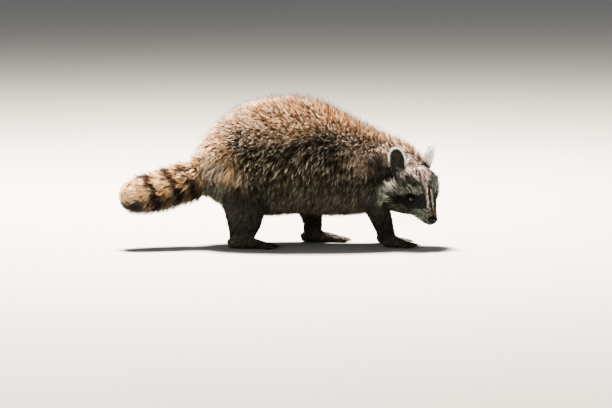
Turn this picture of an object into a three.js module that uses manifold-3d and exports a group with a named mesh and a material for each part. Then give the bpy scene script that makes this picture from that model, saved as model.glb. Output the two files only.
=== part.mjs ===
// A raccoon as a still, life-size museum model. It stands on four feet in mid stride, with its
// head lowered and turned to its right and its bushy tail trailing behind.
// Millimetres, +Z up, the animal faces +X and its left side is +Y. Every solid reaches out to
// the tips of the coat, and the soles and toe pads are flat at z = 0.
import * as THREE from "three";
import { mergeVertices } from "three/addons/utils/BufferGeometryUtils.js";
import Module from "manifold-3d";

// Driving dimensions
const GAP = 0.35; // clear cut between neighbouring parts
const EAR_GAP = 0.7; // room round the thin rim of an ear
const REACH = 900; // side of the blocks that trim a solid, larger than the animal
const TRUNK_FRONT = 222; // where the neck leaves the shoulders
const TAIL_CUTS = [0.36, 0.66]; // the tail's two cuts, as parts of its path from the tip
const HEAD_PLACE = [267.7, -54, 111]; // middle of the skull
const HEAD_YAW = -53; // degrees, to the animal's right
const HEAD_PITCH = 38; // degrees, nose down
const HEAD_ROLL = 2;
const EYE_RADIUS = 8;
const EYE_PLACE = [20, 27, 1.5]; // in the head's own frame: forward, left, up
const EAR_HEIGHT = 64; // from its root inside the coat to its tip
const EAR_WIDTH = 40;
const EAR_THICK = 5.5;
const EAR_CUP = 9; // how deep the front of the ear is hollowed
const EAR_TURN = { left: 1.25, right: 1.0 }; // radians outward from straight ahead
const EAR_PLACE = [-45.2, 39.6, 41.4]; // middle of the ear, in the head's own frame
const TOES = 5;
const WRIST = 24; // height of the cut between foreleg and paw
const ANKLE = 30; // height of the cut between hind leg and foot
const FORE_TOE = { length: 25, radius: 4.6, fan: 0.24, claw: 9.5 };
const HIND_TOE = { length: 21, radius: 5, fan: 0.17, claw: 9 };
const PAW_AHEAD = 216; // right forepaw's wrist, ahead of the model's middle
const HEEL_BEHIND = -80; // right hind ankle
const STRIDE = { foreLeft: -10, hindLeft: 142 }; // how far each left foot is ahead of the right

// Coat colours
const COLORS = {
  coat: 0x6f665a,
  dark: 0x2b2622,
  tail: 0x8a7458,
  face: 0xa39b90,
  ear: 0xc9c2b6,
  nose: 0x141211,
  eye: 0x0b0807,
  claw: 0x3a332c,
};

const wasm = await Module();
wasm.setup();

// Solids for joins and cuts, and back again

function solid(geometry) {
  const bare = geometry.clone();
  bare.deleteAttribute("normal");
  bare.deleteAttribute("uv");
  const merged = mergeVertices(bare, 1e-3);
  return new wasm.Manifold(
    new wasm.Mesh({
      numProp: 3,
      vertProperties: merged.attributes.position.array,
      triVerts: new Uint32Array(merged.index.array),
    }),
  );
}

function geometryOf(body) {
  const made = body.getMesh();
  const geometry = new THREE.BufferGeometry();
  geometry.setAttribute("position", new THREE.BufferAttribute(made.vertProperties, 3));
  geometry.setIndex(new THREE.BufferAttribute(made.triVerts, 1));
  return geometry;
}

// The same shape, larger all round by a small clearance.
function grown(geometry, by) {
  const bare = geometry.clone();
  bare.deleteAttribute("normal");
  bare.deleteAttribute("uv");
  const merged = mergeVertices(bare, 1e-3);
  merged.computeVertexNormals();
  const at = merged.attributes.position;
  const out = merged.attributes.normal;
  for (let i = 0; i < at.count; i++) {
    at.setXYZ(i, at.getX(i) + by * out.getX(i), at.getY(i) + by * out.getY(i),
      at.getZ(i) + by * out.getZ(i));
  }
  merged.deleteAttribute("normal");
  return merged;
}

// Everything beyond the plane through a point, on the side that the direction points to.
function beyond(point, direction) {
  const block = new THREE.BoxGeometry(REACH, REACH, REACH);
  block.translate(0, 0, REACH / 2);
  const turn = new THREE.Quaternion().setFromUnitVectors(
    new THREE.Vector3(0, 0, 1), direction.clone().normalize());
  block.applyQuaternion(turn);
  block.translate(point.x, point.y, point.z);
  return solid(block);
}

// A thin cut through a solid: the piece behind the plane and the piece in front of it.
function part(body, point, direction) {
  const along = direction.clone().normalize();
  const back = along.clone().negate();
  return [
    body.subtract(beyond(point.clone().addScaledVector(along, -GAP / 2), along)),
    body.subtract(beyond(point.clone().addScaledVector(along, GAP / 2), back)),
  ];
}

// A cut can leave a crumb beside the body: only the largest piece is kept.
const largest = (body) => body.decompose().sort((a, b) => b.volume() - a.volume())[0];

const overFloor = (body) =>
  body.subtract(beyond(new THREE.Vector3(0, 0, 0), new THREE.Vector3(0, 0, -1)));

// A body drawn along a line of sections, each with its middle (x, y, z), its half-width w to
// either side, and its reach u upward and d downward. A cylinder's rings are drawn onto them.
function drawn(sections, around, along, side = new THREE.Vector3(0, 1, 0)) {
  const path = new THREE.CatmullRomCurve3(
    sections.map((s) => new THREE.Vector3(s[0], s[1], s[2])), false, "centripetal");
  const size = new THREE.CatmullRomCurve3(
    sections.map((s) => new THREE.Vector3(s[3], s[4], s[5])), false, "centripetal");
  const body = new THREE.CylinderGeometry(1, 1, 1, around, along);
  const at = body.attributes.position;
  for (let i = 0; i < at.count; i++) {
    const t = THREE.MathUtils.clamp(0.5 - at.getY(i), 0, 1);
    const middle = path.getPoint(t);
    const ahead = path.getTangent(t);
    const up = ahead.clone().cross(side).normalize();
    const across = up.clone().cross(ahead).normalize();
    const { x: w, y: u, z: d } = size.getPoint(t);
    const rise = at.getZ(i);
    middle.addScaledVector(across, at.getX(i) * w).addScaledVector(up, rise * (rise > 0 ? u : d));
    at.setXYZ(i, middle.x, middle.y, middle.z);
  }
  return body;
}

// Moves the surface near a place, fading out with distance.
function pressed(geometry, place, spread, move) {
  const at = geometry.attributes.position;
  const middle = new THREE.Vector3(...place);
  const here = new THREE.Vector3();
  for (let i = 0; i < at.count; i++) {
    here.fromBufferAttribute(at, i);
    const fade = Math.exp(-here.distanceToSquared(middle) / (spread * spread));
    at.setXYZ(i, here.x + fade * move[0], here.y + fade * move[1], here.z + fade * move[2]);
  }
  return geometry;
}

const mirrored = (sections) => sections.map(([x, y, ...rest]) => [x, -y, ...rest]);

// Trunk and neck in one, from the rump to the back of the skull
function torso() {
  const body = drawn([
    [-170, -4, 150, 20, 20, 24],
    [-161, -3, 150, 44, 38, 44],
    [-142, -1, 152, 66, 58, 62],
    [-118, 0, 154, 81, 84, 76],
    [-90, 2, 156, 92, 107, 88],
    [-52, 3, 157, 99, 126, 99],
    [-10, 3, 158, 101, 134, 103],
    [40, 2, 158, 100, 136, 97],
    [85, 0, 156, 95, 126, 99],
    [125, -2, 154, 88, 106, 98],
    [162, -3, 150, 80, 90, 92],
    [198, -4, 146, 69, 76, 84],
    [230, -12, 142, 58, 68, 74],
    [252, -22, 137, 50, 55, 64],
    [268, -32, 131, 36, 40, 44],
  ], 22, 17);
  pressed(body, [165, -80, 120], 42, [0, -7, 0]); // shoulders
  pressed(body, [165, 72, 120], 42, [0, 7, 0]);
  pressed(body, [226, -72, 168], 26, [-4, 15, -4]); // behind the right ear
  return body;
}

// Tail, from its tip to inside the rump
const TAIL = [
  [-304, -70, 100, 12, 12, 12],
  [-297, -67, 101, 26, 24, 26],
  [-283, -61, 103, 35, 33, 35],
  [-259, -50, 107.5, 38, 36, 38],
  [-230, -37, 113.5, 39, 38, 39.5],
  [-200, -24, 122, 40, 38, 40],
  [-170, -12, 131, 40, 38, 40],
  [-145, -4, 139, 39, 37, 37],
  [-118, 0, 150, 30, 30, 28],
];

// Head, in its own frame: x forward, y left, z up
function skull() {
  const body = drawn([
    [-66, 0, -8, 28, 23, 26],
    [-56, 0, -10, 48, 43, 42],
    [-42, 0, -14, 61, 52, 46],
    [-25, 0, -18, 72, 60, 43],
    [-8, 0, -16, 71, 58, 40],
    [6, 0, -12, 55, 53, 37],
    [19, 0, -9.5, 38, 43, 33],
    [32, 0, -10, 29, 31.5, 28],
    [45, 0, -12, 22, 20.5, 23],
    [58, 0, -13.5, 17, 14.5, 18],
    [68, 0, -14.5, 13, 10.5, 13],
    [73, 0, -14.5, 9, 7, 8],
  ], 20, 16);
  for (const side of [1, -1]) {
    pressed(body, [21, side * 36, 1], 14, [-3, -side * 6, 0]); // eye socket
    pressed(body, [18, side * 20, 27], 10, [2, side * 2, 0]); // brow
    pressed(body, [-34, side * 46, 30], 15, [-2, -side * 4, -6]); // hollow in front of the ear
  }
  return body;
}

// Nose pad, a rounded block wider at the top
function nosePad() {
  const pad = new THREE.SphereGeometry(1, 10, 7);
  pad.scale(7.5, 10, 7);
  pressed(pad, [2, 0, -8], 6, [-2, 0, 1]);
  return pad.translate(70.5, 0, -11);
}

// A rounded ear, hollowed in front, its rim blunt
function ear(side) {
  const around = 12;
  const shell = new THREE.SphereGeometry(1, around, 8, Math.PI / around, 2 * Math.PI);
  const at = shell.attributes.position;
  for (let i = 0; i < at.count; i++) {
    const [x, y, z] = [at.getX(i), at.getY(i), at.getZ(i)];
    const hollow = EAR_CUP * (1 - y * y - z * z);
    at.setXYZ(i, x * EAR_THICK / 2 - hollow, y * EAR_WIDTH / 2, z * EAR_HEIGHT / 2);
  }
  shell.applyMatrix4(new THREE.Matrix4().makeRotationFromEuler(
    new THREE.Euler(-side * 0.42, 0.02, side > 0 ? EAR_TURN.left : -EAR_TURN.right, "ZXY")));
  return shell.translate(EAR_PLACE[0], side * EAR_PLACE[1], EAR_PLACE[2]);
}

function eye(side) {
  const ball = new THREE.SphereGeometry(EYE_RADIUS, 10, 7);
  return ball.translate(EYE_PLACE[0], side * EYE_PLACE[1], EYE_PLACE[2]);
}

// Right foreleg, from the shoulder to inside the paw
const FORELEG = [
  [160, -46, 158, 24, 24, 24],
  [168, -52, 138, 29, 32, 34],
  [182, -54, 104, 25, 26, 28],
  [194, -48, 76, 19, 21, 22],
  [205, -42, 48, 15, 17, 17],
  [212, -39, 26, 12.5, 13.5, 13],
  [216, -38, 8, 11, 12, 11],
];

// Right hind leg, from the hip by the knee to the heel; it is the one set back
const HIND_RIGHT = [
  [-92, -56, 172, 24, 30, 26],
  [-86, -60, 148, 36, 48, 40],
  [-72, -64, 112, 36, 48, 42],
  [-68, -66, 84, 30, 44, 42],
  [-71, -64, 58, 23, 40, 34],
  [-75, -61, 36, 17, 34, 23],
  [-81, -60, 12, 13, 22, 15],
];

// Left hind leg, reaching forward under the belly
const HIND_LEFT = [
  [-72, 54, 168, 24, 26, 30],
  [-56, 60, 146, 36, 40, 44],
  [-14, 65, 120, 35, 42, 38],
  [34, 67, 97, 27, 32, 34],
  [60, 65, 66, 20, 24, 24],
  [65, 62, 38, 15, 20, 19],
  [63, 60, 12, 13, 18, 14],
];

// A foot flat on the floor: a sole drawn from heel to toes, and five toes fanned in front.
function foot(place, sole, toe, turn) {
  const shapes = [drawn(sole, 8, 5)];
  const claws = [];
  const front = sole[sole.length - 2];
  for (let i = 0; i < TOES; i++) {
    const step = i - (TOES - 1) / 2;
    const angle = step * toe.fan;
    const start = new THREE.Vector3(front[0] - Math.abs(step) * 3.2, step * toe.radius * 1.75,
      toe.radius * 0.9);
    const ahead = new THREE.Vector3(Math.cos(angle), Math.sin(angle), 0);
    const at = (reach, height) => {
      const p = start.clone().addScaledVector(ahead, reach);
      return [p.x, p.y, height];
    };
    const r = toe.radius;
    shapes.push(drawn([
      [...at(-5, r * 1.3), r * 0.7, r * 0.7, r * 0.7],
      [...at(2, r * 1.35), r, r, r * 1.5],
      [...at(toe.length * 0.55, r), r * 0.92, r * 1.1, r * 1.1],
      [...at(toe.length * 0.85, r * 0.85), r, r * 0.95, r],
      [...at(toe.length, r * 0.75), r * 0.55, r * 0.5, r * 0.5],
    ], 5, 3));
    claws.push(drawn([
      [...at(toe.length - 4, r * 1.05), 1.9, 2, 1.9],
      [...at(toe.length + toe.claw * 0.4, r * 1.0), 1.5, 1.7, 1.6],
      [...at(toe.length + toe.claw * 0.8, r * 0.5), 0.9, 0.9, 0.9],
      [...at(toe.length + toe.claw, r * 0.22), 0.45, 0.45, 0.45],
    ], 4, 2));
  }
  for (const shape of [...shapes, ...claws]) {
    shape.rotateZ(turn);
    shape.translate(...place);
  }
  return { shapes, claws };
}

// Soles, in the foot's own frame, with the foot's length along x
const FOREPAW = [
  [-14, 0, 7, 6, 6, 6],
  [-9, 0, 9, 11, 10, 11],
  [4, 0, 10, 15, 13, 13],
  [18, 0, 8, 17, 9, 10],
  [28, 0, 6, 15, 6, 8],
  [33, 0, 5, 9, 3, 4],
];
const HINDFOOT = [
  [-19, 0, 8, 6, 7, 6],
  [-13, 0, 10, 12, 12, 12],
  [4, 0, 11, 14, 14, 14],
  [26, 0, 10, 15, 11, 12],
  [46, 0, 8, 17, 8, 10],
  [56, 0, 6, 14, 6, 8],
  [61, 0, 5, 9, 3, 4],
];

// One limb: the leg and the foot joined, then parted at the wrist or the ankle.
function limb(sections, place, sole, toe, turn, cutHeight) {
  const leg = drawn(sections, 14, 8);
  const { shapes, claws } = foot(place, sole, toe, turn);
  let whole = solid(leg);
  for (const shape of shapes) whole = whole.add(solid(shape));
  const cut = new THREE.Vector3(place[0], place[1], cutHeight);
  const [footPart, legPart] = part(overFloor(whole), cut, new THREE.Vector3(-0.35, 0, 1));
  const room = shapes.map((shape) => solid(grown(shape, GAP)))
    .reduce((all, one) => all.add(one));
  return {
    leg: legPart,
    room: solid(grown(leg, GAP)),
    foot: footPart,
    claws: claws.map((claw) => overFloor(solid(claw)).subtract(room)),
  };
}

function limbs() {
  const moved = (sections, x, y) => sections.map(([a, b, ...rest]) => [a + x, b + y, ...rest]);
  const foreLeft = moved(mirrored(FORELEG), STRIDE.foreLeft, 0);
  return {
    foreRight: limb(FORELEG, [PAW_AHEAD, -38, 0], FOREPAW, FORE_TOE, -0.12, WRIST),
    foreLeft: limb(foreLeft, [PAW_AHEAD + STRIDE.foreLeft, 38, 0], FOREPAW, FORE_TOE, 0.06, WRIST),
    hindRight: limb(HIND_RIGHT, [HEEL_BEHIND, -60, 0], HINDFOOT, HIND_TOE, -0.1, ANKLE),
    hindLeft: limb(HIND_LEFT, [HEEL_BEHIND + STRIDE.hindLeft, 60, 0], HINDFOOT, HIND_TOE, 0.1,
      ANKLE),
  };
}

function mesh(name, body, color, roughness = 0.9) {
  const material = new THREE.MeshStandardMaterial({ color, roughness, metalness: 0 });
  const made = new THREE.Mesh(geometryOf(largest(body)), material);
  made.name = name;
  return made;
}

// Head parts, kept in the head's own frame, and the room the whole head takes up
function headParts(group) {
  const shape = skull();
  let head = solid(shape);
  const nose = nosePad();
  head = head.subtract(solid(grown(nose, GAP)));
  group.add(mesh("nose", solid(nose), COLORS.nose, 0.5));
  for (const [name, side] of [["left", 1], ["right", -1]]) {
    const ball = eye(side);
    const flap = ear(side);
    head = head.subtract(solid(grown(ball, GAP))).subtract(solid(grown(flap, EAR_GAP)));
    group.add(mesh(`eye_${name}`, solid(ball), COLORS.eye, 0.1));
    group.add(mesh(`ear_${name}`, solid(flap), COLORS.ear));
  }
  group.add(mesh("head", head, COLORS.face));
  return [grown(shape, GAP), grown(ear(1), EAR_GAP), grown(ear(-1), EAR_GAP)];
}

function raccoon() {
  const all = new THREE.Group();
  const headGroup = new THREE.Group();
  const angle = THREE.MathUtils.degToRad;
  headGroup.position.set(...HEAD_PLACE);
  headGroup.rotation.set(angle(HEAD_ROLL), angle(HEAD_PITCH), angle(HEAD_YAW), "ZYX");
  headGroup.updateMatrix();
  all.add(headGroup);
  const headRoom = headParts(headGroup).map((one) => solid(one.applyMatrix4(headGroup.matrix)));

  const legs = limbs();
  const tail = drawn(TAIL, 16, 11);
  let body = solid(torso()).subtract(solid(grown(tail, GAP)));
  for (const one of Object.values(legs)) body = body.subtract(one.room);
  for (const room of headRoom) body = body.subtract(room);
  const [trunk, neck] = part(body, new THREE.Vector3(TRUNK_FRONT, 0, 150),
    new THREE.Vector3(1, -0.25, -0.12));
  all.add(mesh("trunk", trunk, COLORS.coat), mesh("neck", neck, COLORS.coat));

  const tailPath = new THREE.CatmullRomCurve3(
    TAIL.map((s) => new THREE.Vector3(s[0], s[1], s[2])), false, "centripetal");
  const cutAt = (t) => [tailPath.getPoint(t), tailPath.getTangent(t)];
  const [tip, rest] = part(solid(tail), ...cutAt(TAIL_CUTS[0]));
  const [mid, root] = part(rest, ...cutAt(TAIL_CUTS[1]));
  all.add(mesh("tail_tip", tip, COLORS.tail), mesh("tail_mid", mid, COLORS.tail),
    mesh("tail_root", root, COLORS.tail));

  const names = {
    foreRight: ["foreleg_right", "forepaw_right"],
    foreLeft: ["foreleg_left", "forepaw_left"],
    hindRight: ["hindleg_right", "hindfoot_right"],
    hindLeft: ["hindleg_left", "hindfoot_left"],
  };
  for (const [key, [legName, footName]] of Object.entries(names)) {
    const one = legs[key];
    for (const room of headRoom) one.leg = one.leg.subtract(room);
    all.add(mesh(legName, one.leg, COLORS.dark), mesh(footName, one.foot, COLORS.dark));
    one.claws.forEach((claw, i) =>
      all.add(mesh(`${footName}_claw_${i + 1}`, claw, COLORS.claw, 0.4)));
  }

  all.updateMatrixWorld(true);
  const box = new THREE.Box3().setFromObject(all, true);
  const middle = box.getCenter(new THREE.Vector3());
  all.position.set(-middle.x, -middle.y, 0);
  return all;
}

export default raccoon();
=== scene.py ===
# %% [markdown]
# # A raccoon in full coat, as a still museum model
# The solid model under this scene is a set of plain closed parts: trunk, neck, head, ears, legs,
# feet and tail. Here they become an animal: one skin without seams, a coat of locks grown on it,
# glass eyes, a moist nose pad, horn claws and whiskers. All sizes are in metres, +Z is up, the
# animal faces +X and its left side is +Y.

# %% Start: load the fixed frame
import math

import bmesh
import bpy
import numpy as np
from mathutils import Euler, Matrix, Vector
from mathutils.kdtree import KDTree


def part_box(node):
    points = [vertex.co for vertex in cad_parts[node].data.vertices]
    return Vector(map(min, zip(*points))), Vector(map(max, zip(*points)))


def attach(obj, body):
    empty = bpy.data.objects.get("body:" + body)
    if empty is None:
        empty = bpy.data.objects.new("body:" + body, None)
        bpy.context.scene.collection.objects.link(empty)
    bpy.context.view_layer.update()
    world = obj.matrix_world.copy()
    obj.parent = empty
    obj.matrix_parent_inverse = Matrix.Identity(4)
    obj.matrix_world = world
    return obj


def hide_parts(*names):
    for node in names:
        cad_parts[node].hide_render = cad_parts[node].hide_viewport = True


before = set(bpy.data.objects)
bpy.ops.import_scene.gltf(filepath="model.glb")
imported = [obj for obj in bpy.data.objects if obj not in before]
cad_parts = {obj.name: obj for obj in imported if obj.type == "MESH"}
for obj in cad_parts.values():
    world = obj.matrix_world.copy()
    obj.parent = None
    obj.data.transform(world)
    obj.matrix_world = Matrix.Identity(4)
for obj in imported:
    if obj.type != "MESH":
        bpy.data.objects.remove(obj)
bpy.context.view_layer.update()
MM = 0.001

# %% [markdown]
# The camera stands far off with a long lens, level with the animal's back and a little above it,
# so that the body is seen from its right side almost without perspective.

# %% Camera
CAMERA_FAR = 9.0  # metres from the animal
CAMERA_DROP = math.radians(5.5)  # how far it looks down
VIEW_WIDTH = 1.1934  # metres of the animal's plane that fit the picture's width
VIEW_MIDDLE = Vector((0.0485, 0.0002, 0.0803))
look = Vector((0.0, math.cos(CAMERA_DROP), -math.sin(CAMERA_DROP)))
camera_data = bpy.data.cameras.new("long_lens")
camera_data.sensor_width = 36.0
camera_data.lens = camera_data.sensor_width * CAMERA_FAR / VIEW_WIDTH
camera_data.clip_end = 60.0
camera = bpy.data.objects.new("long_lens", camera_data)
camera.location = VIEW_MIDDLE - look * CAMERA_FAR
camera.rotation_mode = "QUATERNION"
camera.rotation_quaternion = look.to_track_quat("-Z", "Y")
bpy.context.scene.collection.objects.link(camera)
bpy.context.scene.camera = camera
print("lens", round(camera_data.lens), "mm")


# %% [markdown]
# ## Small tools
# Colours are written as sRGB hex, as a paint chart gives them, and turned to the linear values
# that Blender mixes. One function adds a shader node: each of its settings is a plain value or
# the socket of another node. Meshes come from arrays, because a coat has far too many hairs to
# place one at a time.

# %% Colours, nodes and meshes from arrays
def linear(hex_colour):
    values = [int(hex_colour[i:i + 2], 16) / 255 for i in (1, 3, 5)]
    return tuple(v / 12.92 if v <= 0.04045 else ((v + 0.055) / 1.055) ** 2.4 for v in values)


def add_node(tree, kind, settings):
    node = tree.nodes.new("ShaderNode" + kind)
    for name, value in settings.items():
        if isinstance(value, bpy.types.NodeSocket):
            tree.links.new(value, node.inputs[name])
        elif isinstance(name, int) or name in node.inputs:
            node.inputs[name].default_value = value
        else:
            setattr(node, name, value)
    return node


def mesh_object(name, verts, faces):
    # faces is a list of arrays; the faces of one array all have the same number of corners
    mesh = bpy.data.meshes.new(name)
    mesh.vertices.add(len(verts))
    mesh.vertices.foreach_set("co", np.ascontiguousarray(verts, np.float32).ravel())
    corners = np.concatenate([f.ravel() for f in faces]).astype(np.int32)
    sizes = np.concatenate([np.full(len(f), f.shape[1]) for f in faces])
    starts = np.concatenate([[0], np.cumsum(sizes)[:-1]]).astype(np.int32)
    mesh.loops.add(len(corners))
    mesh.loops.foreach_set("vertex_index", corners)
    mesh.polygons.add(len(sizes))
    mesh.polygons.foreach_set("loop_start", starts)
    mesh.polygons.foreach_set("use_smooth", np.full(len(sizes), True))
    mesh.update(calc_edges=True)
    made = bpy.data.objects.new(name, mesh)
    bpy.context.scene.collection.objects.link(made)
    return made


def paint(obj, colours, name="pelt"):
    layer = obj.data.color_attributes.new(name, "FLOAT_COLOR", "POINT")
    rgba = np.ones((len(colours), 4), np.float32)
    rgba[:, :3] = colours
    layer.data.foreach_set("color", rgba.ravel())


def unit(vectors):
    return vectors / np.maximum(np.linalg.norm(vectors, axis=-1, keepdims=True), 1e-12)


def smoothstep(low, high, x):
    t = np.clip((x - low) / (high - low), 0, 1)
    return t * t * (3 - 2 * t)


def bell(distance, width):
    """1 where the distance is zero, and fading out round it."""
    return np.exp(-(distance / width) ** 2)


def full_turn(steps):
    return np.arange(steps) * 2 * math.pi / steps


rng = np.random.default_rng(7)

# %% [markdown]
# ## One skin
# The flesh parts are pushed out until they overlap, joined, and remeshed on a fine grid, which
# keeps only their common outside. Long fur hides the trunk's surface, so there the mesh is made
# coarser again with Decimate; the head, the ears and the feet keep the fine grid. The result is
# eased like clay under a thumb, so that legs run into the trunk.

# %% Join the flesh parts and remesh them
FLESH = ["trunk", "neck", "head", "ear_left", "ear_right", "tail_root", "tail_mid", "tail_tip",
         "foreleg_left", "foreleg_right", "hindleg_left", "hindleg_right",
         "forepaw_left", "forepaw_right", "hindfoot_left", "hindfoot_right"]
PARTS = ["trunk", "neck", "head", "ear", "tail", "foreleg", "hindleg", "paw"]
PART_OF = ["paw" if "paw" in node or "foot" in node else next(p for p in PARTS if node.startswith(p))
           for node in FLESH]
FINE = ("head", "ear", "paw")
GRID = 1.5 * MM
OVERLAP = 0.45 * MM
SAMPLE, LEAST = 3 * MM, 60  # spacing of the loose points that carry the parts' names, and fewest
COARSE_KEEP = 0.37  # share of all faces that stay after the long-haired parts are thinned


def among(parts, *names):
    return np.isin(parts, [PARTS.index(name) for name in names])


def joined_flesh():
    body = bmesh.new()
    for node in FLESH:
        body.from_mesh(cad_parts[node].data)
    bmesh.ops.remove_doubles(body, verts=body.verts, dist=0.01 * MM)
    body.normal_update()
    for vert in body.verts:
        vert.co += vert.normal * OVERLAP
    mesh = bpy.data.meshes.new("flesh")
    body.to_mesh(mesh)
    body.free()
    return mesh


def changed(mesh, kind, groups=None, **settings):
    """The mesh after one modifier."""
    rough = bpy.data.objects.new("rough", mesh)
    bpy.context.scene.collection.objects.link(rough)
    if groups is not None:
        group = rough.vertex_groups.new(name="coarse")
        for i in np.flatnonzero(groups):
            group.add([int(i)], 1.0, "REPLACE")
        settings["vertex_group"] = "coarse"
    step = rough.modifiers.new(kind, kind)
    for name, value in settings.items():
        setattr(step, name, value)
    ready = rough.evaluated_get(bpy.context.evaluated_depsgraph_get())
    made = bpy.data.meshes.new_from_object(ready)
    bpy.data.objects.remove(rough)
    return made


def points_of(mesh):
    points = np.zeros(len(mesh.vertices) * 3, np.float32)
    mesh.vertices.foreach_get("co", points)
    return points.reshape(-1, 3).astype(float)


def tree_of(points):
    tree = KDTree(len(points))
    for i, p in enumerate(points.tolist()):
        tree.insert(p, i)
    tree.balance()
    return tree


def nearest(tree, points):
    find = tree.find
    return np.fromiter((find(p)[1] for p in points.tolist()), np.int64, len(points))


def sampled(node):
    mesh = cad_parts[node].data
    mesh.calc_loop_triangles()
    corners = np.array([t.vertices for t in mesh.loop_triangles])
    points = points_of(mesh)
    a, b, c = (points[corners[:, i]] for i in range(3))
    area = np.linalg.norm(np.cross(b - a, c - a), axis=1) / 2
    pick = rng.choice(len(corners), int(area.sum() / SAMPLE ** 2) + LEAST, p=area / area.sum())
    u, v = rng.random((2, len(pick)))
    flip = u + v > 1
    u[flip], v[flip] = 1 - u[flip], 1 - v[flip]
    return a[pick] + u[:, None] * (b - a)[pick] + v[:, None] * (c - a)[pick]


samples = [sampled(node) for node in FLESH]
sample_part = np.concatenate([np.full(len(s), PARTS.index(p)) for s, p in zip(samples, PART_OF)])
sample_node = np.concatenate([np.full(len(s), i) for i, s in enumerate(samples)])
sample_tree = tree_of(np.concatenate(samples))
flesh_mesh = changed(joined_flesh(), "REMESH", mode="VOXEL", voxel_size=GRID)
part = sample_part[nearest(sample_tree, points_of(flesh_mesh))]
coarse = ~among(part, *FINE)
print("fine grid:", len(part), "points,", int(coarse.sum()), "of them under long fur")
flesh_mesh = changed(flesh_mesh, "DECIMATE", groups=coarse, ratio=COARSE_KEEP,
                     use_collapse_triangulate=True)
flesh_mesh.calc_loop_triangles()
outer = points_of(flesh_mesh)
count = len(outer)
tris = np.zeros(len(flesh_mesh.loop_triangles) * 3, np.int32)
flesh_mesh.loop_triangles.foreach_get("vertices", tris)
tris = tris.reshape(-1, 3)
edges = np.unique(np.sort(np.concatenate([tris[:, [0, 1]], tris[:, [1, 2]], tris[:, [2, 0]]]), 1),
                  axis=0)
near = nearest(sample_tree, outer)
part, node_of = sample_part[near], sample_node[near]
print("skin:", count, "points,", len(tris), "triangles")

# %% [markdown]
# A few fields are spread over the skin: the share that each part has in a point, the direction
# of the surface, the depth and the lie of the coat. `eased` moves each value towards the mean of
# its neighbours, so that one part's values flow into the next one's.

# %% Easing, surface direction and part shares
NEIGHBOURS = np.bincount(edges.ravel(), minlength=count).clip(1)


def eased(values, rounds, amount=0.5):
    a, b = edges[:, 0], edges[:, 1]
    flat = values.reshape(count, -1)
    amount = np.broadcast_to(amount, count)[:, None]
    for _ in range(rounds):
        mean = np.stack([(np.bincount(a, flat[b, k], count) + np.bincount(b, flat[a, k], count))
                         / NEIGHBOURS for k in range(flat.shape[1])], 1)
        flat = flat + amount * (mean - flat)
    return flat.reshape(values.shape)


def point_normals(points):
    face = np.cross(points[tris[:, 1]] - points[tris[:, 0]], points[tris[:, 2]] - points[tris[:, 0]])
    return unit(np.stack([np.bincount(tris.ravel(), np.repeat(face[:, k], 3), count)
                          for k in range(3)], 1))


def across(vectors, normals):
    """The part of each vector that lies in the surface."""
    return vectors - normals * np.sum(vectors * normals, 1, keepdims=True)


fine = eased(among(part, *FINE).astype(float), 6)
outer = eased(outer, 14, 0.5 - 0.38 * fine)
share = eased(np.eye(len(PARTS))[part], 8)
outward = unit(eased(point_normals(outer), 4, 0.5 - 0.3 * fine))
of_part = {name: share[:, i] for i, name in enumerate(PARTS)}


def by_part(leg, **others):
    """One value for each point, mixed from the parts' values by the shares they have in it."""
    mix = sum(value * of_part[name] for name, value in others.items())
    return mix + leg * (of_part["foreleg"] + of_part["hindleg"])


print("points shared by two parts:", int((share.max(1) < 0.99).sum()))

# %% [markdown]
# ## Frames to measure in
# The head has a frame of its own, forward, left and up in millimetres, and so has each ear. The
# tail and the legs are measured along a middle line. Everything that is painted or grown is then
# said in plain sizes from the eyes, the nose or the tail's root.

# %% Head frame, ear frames and middle lines
MIDDLE_SHIFT = np.array([-4.15, -0.93, 0.0])  # mm, from the drawing's zero to the box's middle
HEAD_TURN = np.array(Euler([math.radians(a) for a in (2, 38, -53)], "XYZ").to_matrix())
EYE = np.array([20.0, 27.0, 1.5])  # mm in the head's frame, like the two below
NOSE = np.array([70.5, 0.0, -11.0])
EAR_MIDDLE = np.array([-45.2, 39.6, 41.4])
SIDES = {"left": 1, "right": -1}
EAR_TURN = {1: 1.25, -1: 1.0}  # radians outward from straight ahead
EAR_LEAN, EAR_NOD = 0.42, 0.02  # radians sideways and forward
EAR_HALF = np.array([20.0, 32.0])  # mm, half the ear's width and height


def middle(node):
    low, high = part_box(node)
    return np.array((low + high) / 2)


head_middle = ((middle("eye_left") + middle("eye_right")) / 2
               - HEAD_TURN @ np.array([EYE[0], 0, EYE[2]]) * MM)


def in_head(points):
    return (points - head_middle) @ HEAD_TURN / MM


def from_head(points):
    return np.asarray(points, float) @ HEAD_TURN.T * MM + head_middle


def ear_frame(side):
    return np.array(Euler((-side * EAR_LEAN, EAR_NOD, side * EAR_TURN[side]), "YXZ").to_matrix())


def in_ear(head_points, side):
    return (head_points - EAR_MIDDLE * (1, side, 1)) @ ear_frame(side)


def along_line(points, line):
    """Distance along a middle line, unit direction there, and the vector out from the line."""
    best = np.full(len(points), np.inf)
    length, direction, out = np.zeros(len(points)), np.zeros(points.shape), np.zeros(points.shape)
    run = 0.0
    for start, end in zip(line[:-1], line[1:]):
        size = np.linalg.norm(end - start)
        step = (end - start) / size
        t = np.clip((points - start) @ step, 0, size)
        away = points - start - t[:, None] * step
        closer = np.linalg.norm(away, axis=1) < best
        best[closer] = np.linalg.norm(away[closer], axis=1)
        length[closer], direction[closer], out[closer] = run + t[closer], step, away[closer]
        run += size
    return length, direction, out


def line_of(*points):
    return np.array(points, float) + MIDDLE_SHIFT


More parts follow.
